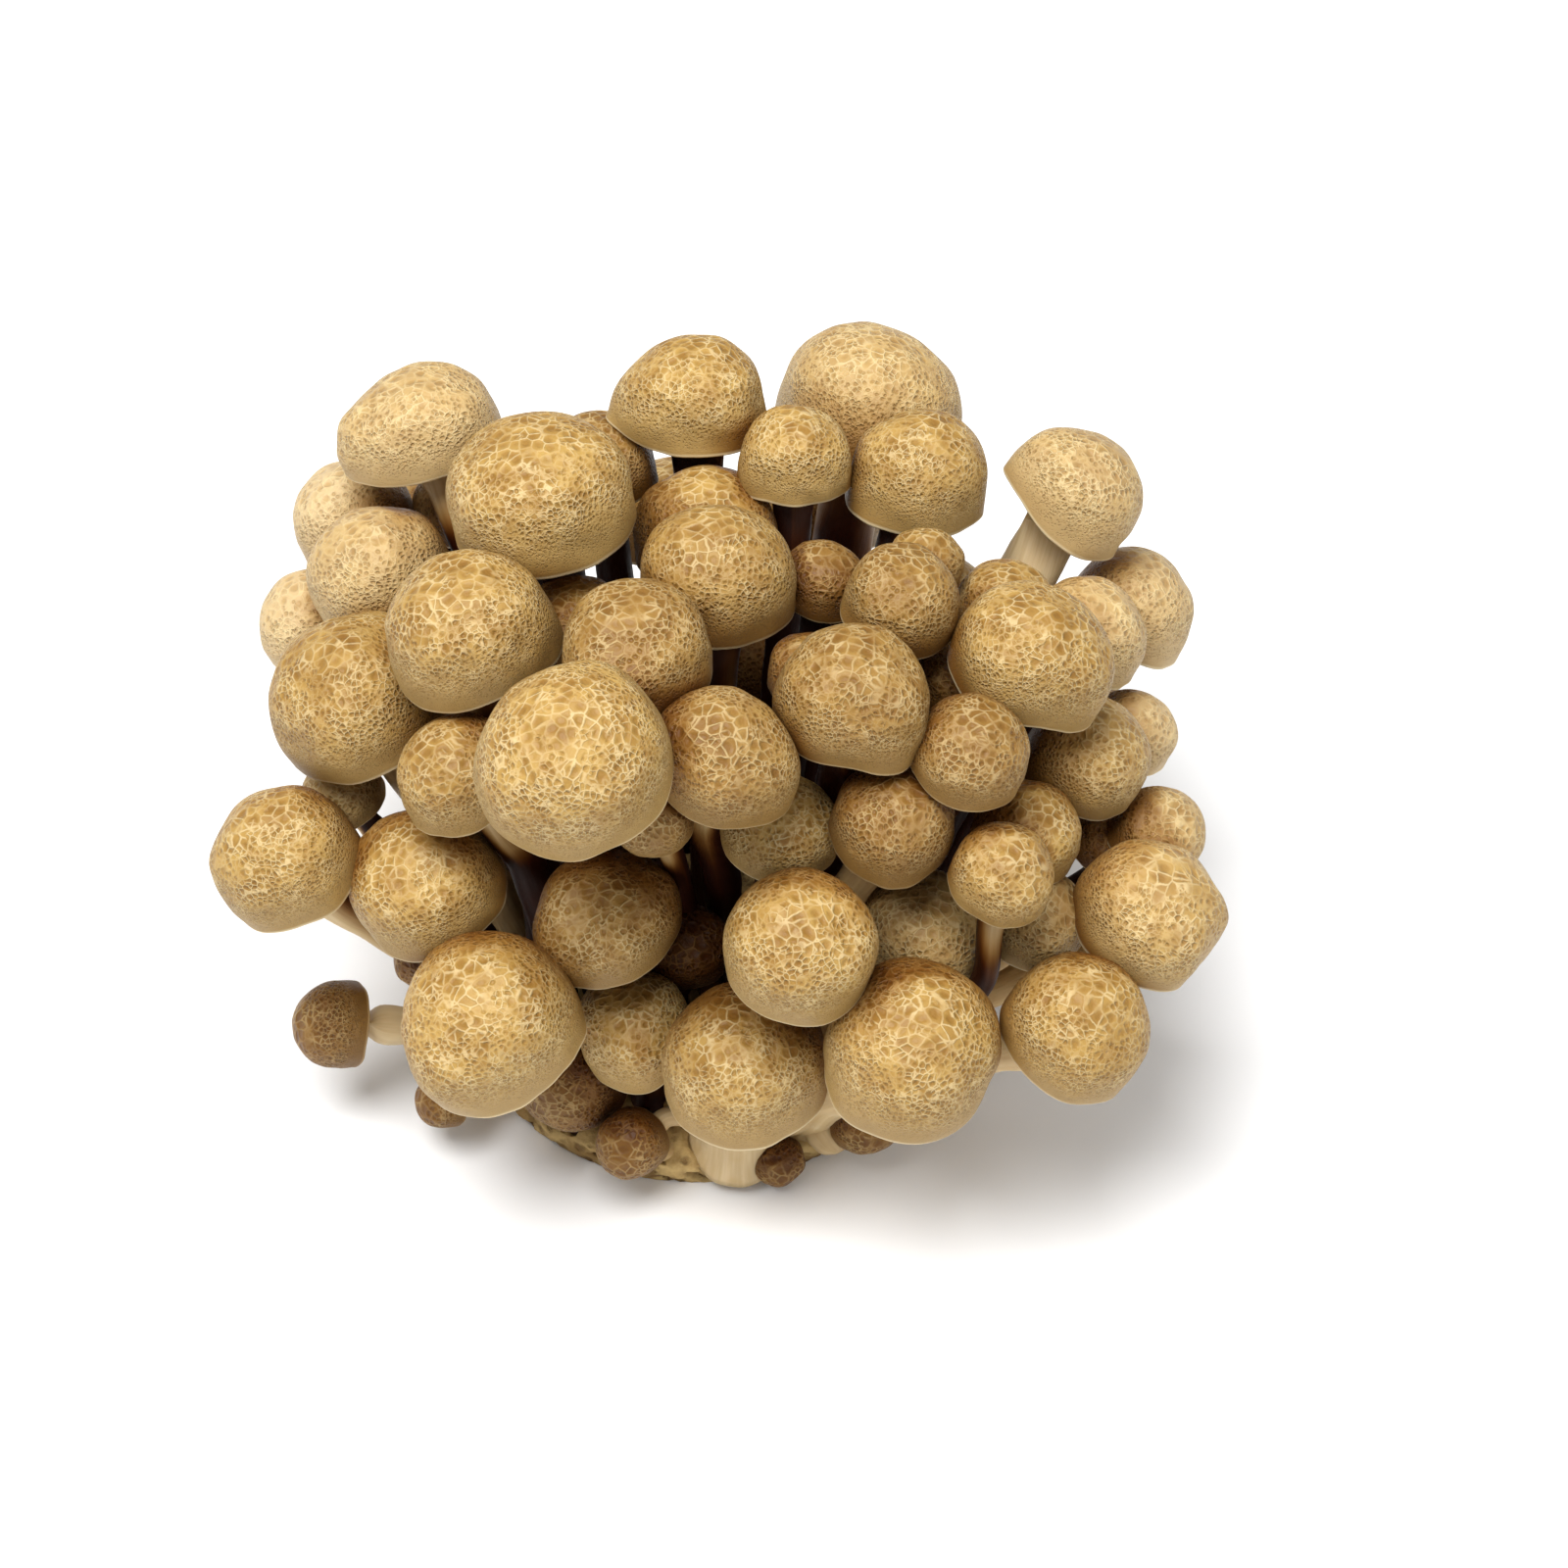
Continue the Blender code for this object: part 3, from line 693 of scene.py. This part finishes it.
EXTRAS = (
    Extra("crown_extra_01", (25.7, 7.6, 72.9), 4.8, (0.3, 0.1, 1.0), (10.0, 4.0, 14.0), 0.35),
    Extra("crown_extra_02", (28.6, -2.1, 62.7), 4.9, (0.5, -0.2, 1.0), (12.0, 0.0, 14.0), 0.3),
    Extra("front_extra_01", (-8.0, -27.6, 64.0), 4.9, (-0.2, -0.6, 1.0), (-4.0, -9.0, 15.0), 0.6),
    Extra("left_extra_01", (-38.9, 46.2, 49.3), 5.4, (-0.3, 0.5, 1.0), (-12.0, 11.0, 14.0), -0.1),
    Extra("right_extra_01", (47.7, -9.1, 40.7), 3.7, (0.8, -0.3, 0.7), (18.0, -4.0, 12.0), 0.3),
    Extra("hollow_extra_01", (-3.7, -17.3, 30.0), 5.2, (0.0, -0.5, 1.0), (-1.0, -11.0, 15.0), 1.0),
    Extra("button_extra_01", (7.4, -31.4, 4.3), 3.3, (0.3, -1.6, 0.6), (4.0, -24.0, 6.0), 1.0, 0.42),
    Extra("button_extra_02", (18.6, -29.2, 9.4), 4.2, (0.8, -1.2, 1.0), (11.0, -18.0, 8.0), 0.9, 0.42),
    Extra("button_extra_03", (-37.9, -19.5, 30.0), 3.7, (-1.6, -0.5, 1.0), (-20.0, -13.0, 9.0), 1.0, 0.42),
    Extra("back_extra_01", (-41.5, 34.5, 33.5), 7.0, (-0.6, 0.6, 0.8), (-14.0, 12.0, 12.0), 0.2),
    Extra("back_extra_02", (-21.5, 41.5, 25.5), 7.2, (-0.3, 0.9, 0.6), (-8.0, 18.0, 11.0), 0.2),
    Extra("back_extra_03", (48.0, 27.5, 28.8), 6.6, (0.8, 0.5, 0.6), (19.0, 12.0, 11.0), 0.25),
)
EXTRA_SEED = 200
DRAWN_POINTS = 12  # in each of a drawn mushroom's rings
DRAWN_ANGLES = (32.0, 62.0, 92.0)  # from its top to each of the three rings above its rim, in degrees
DRAWN_HEIGHT = 0.84  # its top above its cap's middle, as a share of the cap's radius, as are the next three
DRAWN_RIM = 0.86
RIM_DROP = 0.38
NECK_DROP = 0.24
DRAWN_KNOTS = (0.0, 0.14, 0.34, 0.56, 0.78, 1.0)  # the places of its stem's rings, as shares of the way down


def drawn_rings(extra, seed):
    """The top and the rings of a small mushroom, like those that are read from the CAD."""
    centre, foot, radius = np.array(extra.cap) * MM, np.array(extra.foot) * MM, extra.radius * MM
    axis = unit(extra.axis)
    side = unit(np.cross((0.0, 1.0, 0.0), axis))
    turns = np.linspace(0.0, 2 * math.pi, DRAWN_POINTS, endpoint=False)[:, None]
    share = 1 + 0.03 * np.cos(2 * turns + seed) + 0.02 * np.cos(3 * turns + 2 * seed)
    spoke = (side * np.cos(turns) + np.cross(axis, side) * np.sin(turns)) * share * radius
    rings = []
    for angle in np.radians(DRAWN_ANGLES):
        rings.append(centre + spoke * math.sin(angle) + axis * DRAWN_HEIGHT * math.cos(angle) * radius)
    rings.append(centre + spoke * DRAWN_RIM - axis * RIM_DROP * radius)
    neck = centre - axis * NECK_DROP * radius
    bend = neck - axis * 0.45 * np.linalg.norm(neck - foot)
    across = side
    for t in DRAWN_KNOTS:
        middle = neck * (1 - t) ** 2 + bend * 2 * t * (1 - t) + foot * t**2
        way = unit((neck - bend) * (1 - t) + (bend - foot) * t)
        across = unit(across - way * (across @ way))
        wide = radius * extra.girth * (1.18 if t == 0 else 1 - 0.12 * t)
        rings.append(middle + (across * np.cos(turns) + np.cross(way, across) * np.sin(turns)) * wide)
    return centre + axis * DRAWN_HEIGHT * radius, rings


# ---------------------------------------------------------------- bare stems at the foot

# Each is a few points and radii in millimetres, from the plug to its tip
BARE_STEMS = {
    "curled_stem": (
        (-6.8, -28.5, 5.0, 1.3),
        (-7.6, -30.8, 5.6, 1.2),
        (-8.7, -30.6, 8.0, 1.2),
        (-7.4, -29.3, 10.4, 1.3),
        (-5.3, -28.6, 10.3, 1.3),
        (-4.0, -28.2, 8.6, 1.1),
    ),
    "stub_stem": (
        (11.0, -21.0, 8.0, 3.2),
        (13.2, -26.0, 6.4, 3.2),
        (15.2, -29.8, 4.6, 3.3),
    ),
    "leaning_stem": (
        (6.0, -22.0, 8.5, 3.0),
        (8.6, -26.5, 8.4, 3.2),
        (12.8, -26.8, 11.5, 2.9),
        (17.5, -28.0, 16.0, 2.6),
    ),
}
BARE_ROWS = 44
BARE_SIDES = 48
# Painted shade: a bare stem takes the shade of this openness
BARE_SHADE = 0.8  # the openness taken for a bare stem
BARE_FOOT = (0.9, 0.3)  # how downy and stained it is, at the plug and at its tip


def bare_stem(name, knots, seed, material):
    """A stem without a cap: a smooth tube through its knots, rounded over at the tip."""
    knots = np.array(knots) * MM
    share = np.linspace(0.0, 1.0, len(knots))
    wanted = np.linspace(0.0, 1.0, BARE_ROWS)
    line = along(knots[:, None, :3], share, wanted)[:, 0]
    wide = np.interp(wanted, share, knots[:, 3])
    way = unit(np.gradient(line, axis=0))
    length = np.concatenate([[0.0], np.cumsum(np.linalg.norm(np.diff(line, axis=0), axis=1))])
    left = (length[-1] - length) / wide[-1]
    wide = wide * np.sqrt(np.clip(1 - np.clip(1 - left, 0, 0.97) ** 2, 0, 1))
    turns = np.linspace(0.0, 2 * math.pi, BARE_SIDES, endpoint=False)[:, None]
    across = unit(np.cross(way[0], (0.3, 0.2, 1.0)))
    rows = []
    for place, along_it, size in zip(line, way, wide):
        across = unit(across - along_it * (across @ along_it))
        rows.append(place + (across * np.cos(turns) + np.cross(along_it, across) * np.sin(turns)) * size)
    rows = np.array(rows)
    middle = line[:, None]
    rows = middle + (rows - middle) * (1 + 0.06 * Waves(seed, 4 * MM)(rows))[:, :, None]
    points = np.concatenate([rows.reshape(-1, 3), line[:1], line[-1:]])
    faces = []
    for k in range(BARE_SIDES):
        n = (k + 1) % BARE_SIDES
        last = (BARE_ROWS - 1) * BARE_SIDES
        faces += [(len(points) - 2, n, k), (len(points) - 1, last + k, last + n)]
        for row in range(BARE_ROWS - 1):
            a = row * BARE_SIDES
            faces.append((a + k, a + n, a + BARE_SIDES + n, a + BARE_SIDES + k))
    mesh = bpy.data.meshes.new(name)
    mesh.from_pydata(points.tolist(), [], faces)
    mesh.materials.append(material)
    mesh.shade_smooth()
    grain = np.zeros((BARE_ROWS, BARE_SIDES, 3))
    grain[:, :, 0] = (np.cos(turns) * 1.6).T
    grain[:, :, 1] = (np.sin(turns) * 1.6).T
    grain[:, :, 2] = (length / MM * 0.06 + seed)[:, None]
    add_values(mesh, "grain", np.concatenate([grain.reshape(-1, 3), grain[0, :1], grain[-1, :1]]))
    foot = np.repeat(np.linspace(*BARE_FOOT, BARE_ROWS), BARE_SIDES)
    add_values(mesh, "foot", np.concatenate([foot, BARE_FOOT]))
    add_values(mesh, "shade", np.full(len(points), BARE_SHADE))
    return mesh


# ---------------------------------------------------------------- the plug

PLUG_TURNS = 240
PLUG_EDGE = 4.5 * MM  # the height of its edge
PLUG_FOOT_SHARE = 30 / 31  # its foot's radius, as a share of its edge's
PLUG_TAPER = 0.45  # below this share of its edge's height, it draws in to its foot
PLUG_LUMPS = ((11, 9.0, 0.5), (12, 4.0, 0.35), (13, 1.8, 0.3))  # seeds, wavelengths in mm and weights
PLUG_PITS = ((14, 5.0, 1.0), (15, 2.2, 0.5))
PIT_LEVEL = 0.55  # only what stands above this makes a pit
CRUST_SINK = 0.45  # how far inside its solid the crust lies, in mm, and how much its lumps change that
LUMP_SINK = 0.35
PIT_SINK = 2.2
UNDER_SINK = 0.25  # the share of all this on its flat underside


def summed_waves(fields, points):
    """The sum of some fields of waves, each given by its seed, its wavelength and its weight."""
    return sum(Waves(seed, wavelength * MM)(points) * weight for seed, wavelength, weight in fields)


def plug_profile(reach, top):
    """Radius and height pairs down the plug, from the middle of its top to the middle of its underside."""
    foot, edge = reach * PLUG_FOOT_SHARE, PLUG_EDGE
    across = np.linspace(0.4 * MM, reach - 0.5 * MM, 50)
    profile = [(r, edge + (top - edge) * (1 - (r / reach) ** 2)) for r in across]
    profile += [(reach - 0.12 * MM, edge - 0.1 * MM), (reach, edge - 0.5 * MM)]
    profile += [(reach, z) for z in np.linspace(edge - 1.0 * MM, edge * PLUG_TAPER, 5)]
    profile += [(foot + (reach - foot) * t, edge * PLUG_TAPER * t) for t in (0.75, 0.5, 0.25, 0.08)]
    profile += [(foot - 0.3 * MM, 0.0)]
    profile += [(r, 0.0) for r in np.linspace(foot - 1.2 * MM, 0.4 * MM, 24)]
    return np.array(profile)


def plug_piece(material):
    """The crumbly block of spawn that all the stems grow from, pitted but never beyond its solid."""
    low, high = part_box("mycelium_plug")
    profile = plug_profile((high.x - low.x) / 2, high.z)
    turns = np.linspace(0.0, 2 * math.pi, PLUG_TURNS, endpoint=False)
    rows = np.zeros((len(profile), PLUG_TURNS, 3))
    rows[:, :, 0] = (low.x + high.x) / 2 + profile[:, :1] * np.cos(turns)
    rows[:, :, 1] = (low.y + high.y) / 2 + profile[:, :1] * np.sin(turns)
    rows[:, :, 2] = profile[:, 1:]
    normal = np.cross(np.roll(rows, -1, axis=1) - np.roll(rows, 1, axis=1), np.gradient(rows, axis=0))
    normal = -unit(normal)
    lumps = summed_waves(PLUG_LUMPS, rows)
    pits = np.clip(summed_waves(PLUG_PITS, rows) - PIT_LEVEL, 0, 1)
    under = profile[:, 1] <= 0
    sink = (CRUST_SINK + LUMP_SINK * np.clip(lumps, -1.2, 1.2)) * MM + pits * PIT_SINK * MM
    sink = np.clip(sink, 0, None) * np.where(under, UNDER_SINK, 1.0)[:, None]
    sink[profile[:, 1] < 0.1 * MM] *= np.where(np.arange(PLUG_TURNS) % 2, 0.2, 1.0)
    rows = rows - normal * sink[:, :, None]
    points = np.concatenate([[rows[0].mean(axis=0)], rows.reshape(-1, 3), [rows[-1].mean(axis=0)]])
    sides = [(k, (k + 1) % PLUG_TURNS) for k in range(PLUG_TURNS)]
    faces = [(0, 1 + a, 1 + b) for a, b in sides]
    for row in range(len(profile) - 1):
        start = 1 + row * PLUG_TURNS
        below = start + PLUG_TURNS
        faces += [(start + a, below + a, below + b, start + b) for a, b in sides]
    last = 1 + (len(profile) - 1) * PLUG_TURNS
    faces += [(last + a, len(points) - 1, last + b) for a, b in sides]
    mesh = bpy.data.meshes.new("plug_crust")
    mesh.from_pydata(points.tolist(), [], faces)
    mesh.materials.append(material)
    mesh.shade_smooth()
    add_values(mesh, "pit_shade", with_ends(np.clip(pits * 1.6, 0, 1).ravel(), 0.0, 0.0))
    add_values(mesh, "shade", np.ones(len(points)))
    return mesh


# ---------------------------------------------------------------- what is special about single mushrooms

STEM_SWELLS = {"front_mushroom_08": 1.4, "front_mushroom_09": 1.2}  # how many times as thick as the CAD's
LIPS = {  # which way and how far the rim is bent out, in millimetres
    "left_mushroom_01": (-3.6, -0.4, 1.0),
    "crown_mushroom_07": (-3.4, 0.0, 1.0),
}
# Painted shade: these stems take less of it, down to the least openness given
LIT_STEMS = {  # the least openness taken for stems that would come out too dark
    "right_mushroom_04": 0.85,
    "right_mushroom_09": 0.75,
    "right_mushroom_12": 0.75,
    "right_mushroom_13": 0.75,
    "front_mushroom_06": 0.72,
    "front_mushroom_07": 0.72,
    "front_mushroom_08": 0.85,
    "front_mushroom_09": 0.85,
    "front_mushroom_10": 0.80,
    "button_mushroom_01": 0.85,
    "left_mushroom_06": 0.75,
}
# Painted shade: these caps take less of it
LIT_CAPS = (  # caps that would come out too dark, and so take the least openness below
    "front_mushroom_03",
    "front_mushroom_04",
    "front_mushroom_07",
    "left_mushroom_08",
    "right_mushroom_13",
)
LIT_CAP_OPENNESS = 0.62
BUTTON_TONE = 0.9
# Partly each cap's own tone and partly painted light and shade: each is set so that the cap comes out as
# bright as it should where it stands
CAP_TONES_AND_LIGHT = {  # below 0 is paler than ochre, and 1 is the brownest
    "back_mushroom_01": 0.0,
    "crown_mushroom_02": 0.16,
    "crown_mushroom_04": 0.60,
    "crown_mushroom_05": 0.50,
    "crown_mushroom_07": 0.0,
    "crown_mushroom_08": 0.10,
    "crown_mushroom_09": 0.30,
    "crown_mushroom_10": 0.48,
    "crown_mushroom_11": 0.70,
    "crown_mushroom_12": 0.62,
    "crown_mushroom_13": 0.05,
    "crown_mushroom_14": 0.48,
    "crown_mushroom_15": -0.18,
    "crown_mushroom_17": 0.55,
    "front_mushroom_02": 0.40,
    "front_mushroom_03": 0.0,
    "front_mushroom_04": 0.0,
    "front_mushroom_06": 0.70,
    "front_mushroom_07": -0.12,
    "left_mushroom_01": -0.24,
    "left_mushroom_02": -0.55,
    "left_mushroom_03": -0.42,
    "left_mushroom_04": -0.26,
    "left_mushroom_05": -0.50,
    "left_mushroom_06": 0.16,
    "left_mushroom_07": 0.25,
    "left_mushroom_08": -0.10,
    "left_mushroom_09": 0.08,
    "right_mushroom_03": 0.60,
    "right_mushroom_04": -0.22,
    "right_mushroom_05": -0.26,
    "right_mushroom_06": -0.34,
    "right_mushroom_07": -0.05,
    "right_mushroom_08": -0.42,
    "right_mushroom_09": 0.0,
    "right_mushroom_11": -0.20,
    "right_mushroom_12": -0.08,
    "right_mushroom_13": -0.12,
}


# ---------------------------------------------------------------- building and placing


def place(name, mesh, slot):
    """Adds a piece to the scene, on the cluster's one body. The slot is not used."""
    piece = bpy.data.objects.new(name, mesh)
    bpy.context.scene.collection.objects.link(piece)
    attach(piece, "root")
    return piece


def tone_of(name, radius, centre):
    """How brown a cap is, partly its own tone and partly painted light and shade. One with no tone of its own
    is browner if it is small, partly as painted shade, and browner on the right, away from the light, as
    painted shade.
    """
    if name.startswith("button"):
        return BUTTON_TONE
    if name in CAP_TONES_AND_LIGHT:
        return CAP_TONES_AND_LIGHT[name]
    # Partly painted shade: the small caps sit deeper among the others
    small = np.interp(radius / MM, (5.0, 9.0), (0.22, 0.0))
    # Painted shade: browner on the right, away from the light
    side = np.interp(centre[0] / MM, (-50.0, 30.0), (0.0, 0.12))
    return float(small + side)


def slot_of(name):
    return "button" if name.startswith("button") else "mushroom"


def grow_mushrooms(depth):
    """A fine piece for each CAD mushroom, and then the ones that have no node."""
    materials = (cap_skin(), gill_flesh(), stem_flesh())
    names = sorted(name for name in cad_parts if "mushroom" in name)
    for seed, name in enumerate(names):
        apex, rings = rings_of(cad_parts[name])
        swell, lip = STEM_SWELLS.get(name, 1.0), LIPS.get(name, NO_LIP)
        shape = Mushroom(apex, rings, seed, swell=swell, lip=lip)
        shape.tone = tone_of(name, shape.radius, shape.centre)
        shade = depth.over(shape, name)
        cap, stem = shade[: shape.stem_start], shade[shape.stem_start :]
        # Less painted shade for the stems and caps listed above
        np.maximum(stem, LIT_STEMS.get(name, 0.0), out=stem)
        np.maximum(cap, LIT_CAP_OPENNESS if name in LIT_CAPS else 0.0, out=cap)
        piece = place(name + "_fine", mesh_of(name + "_skin", shape, shade, materials), slot_of(name))
        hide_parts(name)
    for seed, extra in enumerate(EXTRAS, EXTRA_SEED):
        shape = Mushroom(*drawn_rings(extra, seed), seed, extra.tone)
        place(extra.name, mesh_of(extra.name, shape, depth.over(shape), materials), slot_of(extra.name))
    for seed, (name, knots) in enumerate(BARE_STEMS.items(), EXTRA_SEED):
        place(name, bare_stem(name, knots, seed, materials[2]), "mushroom")


def grow_plug():
    piece = place("plug_crust", plug_piece(mycelium()), "mycelium")
    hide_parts("mycelium_plug")


# ---------------------------------------------------------------- the studio

FLOOR_SIZE = 6.0
FLOOR_GREY = 0.90
SKY_STRENGTH = 0.36
LAMP_TARGET = (0.0, 0.0, 0.04)
LAMPS = (  # each one's name, place, size in metres and power in watts
    ("key", (-0.20, -0.20, 0.95), 0.75, 15.8),
    ("fill", (0.60, -0.45, 0.60), 0.60, 2.0),
)


def floor_material():
    s = Shader("studio_floor")
    return s.finish((FLOOR_GREY, FLOOR_GREY, FLOOR_GREY), 0.8, 0.0, 0.0, 0.1)


def lamp(name, place, size, power):
    """A soft round lamp, turned towards the middle of the cluster."""
    light = bpy.data.lights.new(name, "AREA")
    light.shape = "DISK"
    light.size = size
    light.energy = power
    lamp_object = bpy.data.objects.new(name, light)
    lamp_object.location = place
    way = Vector(LAMP_TARGET) - Vector(place)
    lamp_object.rotation_euler = way.to_track_quat("-Z", "Y").to_euler()
    bpy.context.scene.collection.objects.link(lamp_object)


def make_studio():
    bpy.ops.mesh.primitive_plane_add(size=FLOOR_SIZE)
    floor = bpy.context.object
    floor.name = "studio_floor"
    floor.data.materials.append(floor_material())
    world = bpy.data.worlds.new("studio")
    world.use_nodes = True
    sky = world.node_tree.nodes["Background"].inputs
    sky["Color"].default_value = (*WHITE, 1.0)
    sky["Strength"].default_value = SKY_STRENGTH
    bpy.context.scene.world = world
    for settings in LAMPS:
        lamp(*settings)
    bpy.context.scene.view_settings.view_transform = "Standard"


def make_camera():
    camera = bpy.data.cameras.new("camera")
    camera.sensor_width = CAMERA_SENSOR
    camera.lens = CAMERA_LENS
    camera.clip_start = 0.01
    holder = bpy.data.objects.new("camera", camera)
    holder.location = CAMERA_PLACE
    holder.rotation_euler = (math.radians(90.0 - CAMERA_TILT), 0.0, 0.0)
    bpy.context.scene.collection.objects.link(holder)
    bpy.context.scene.camera = holder


def main():
    make_camera()
    make_studio()
    grow_mushrooms(Depth(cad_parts.values()))
    grow_plug()


main()
